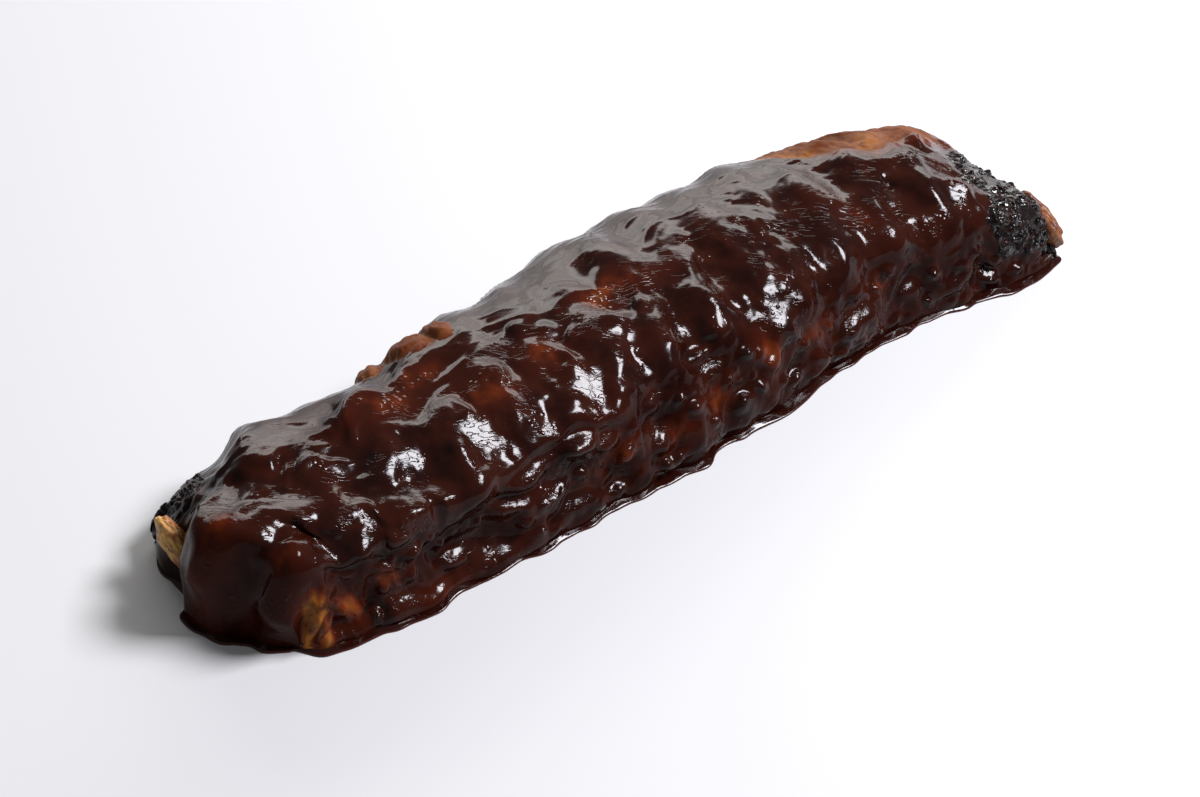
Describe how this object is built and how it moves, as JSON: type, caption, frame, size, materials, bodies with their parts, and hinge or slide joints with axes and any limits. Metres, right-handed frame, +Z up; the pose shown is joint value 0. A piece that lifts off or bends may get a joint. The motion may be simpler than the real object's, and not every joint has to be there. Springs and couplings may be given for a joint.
{
  "type": "rack of ribs",
  "caption": "Whole rack of baby back pork ribs, bone side down, arched on top with a ridge over each rib, thickly coated in dark glossy barbecue sauce.",
  "frame": {"origin": "middle of the rack's footprint, on the surface it lies on", "axes": "+X along the rack, from the steep cut end to the lower charred end; +Y across it, from the rib-tip edge to the loin edge; +Z up"},
  "size_m": [0.32, 0.0896, 0.042],
  "materials": {
    "glazed_meat": "glossy dark sauce over browned meat"
  },
  "bodies": {
    "root": {"rack_of_ribs": "glazed_meat"}
  },
  "joints": []
}
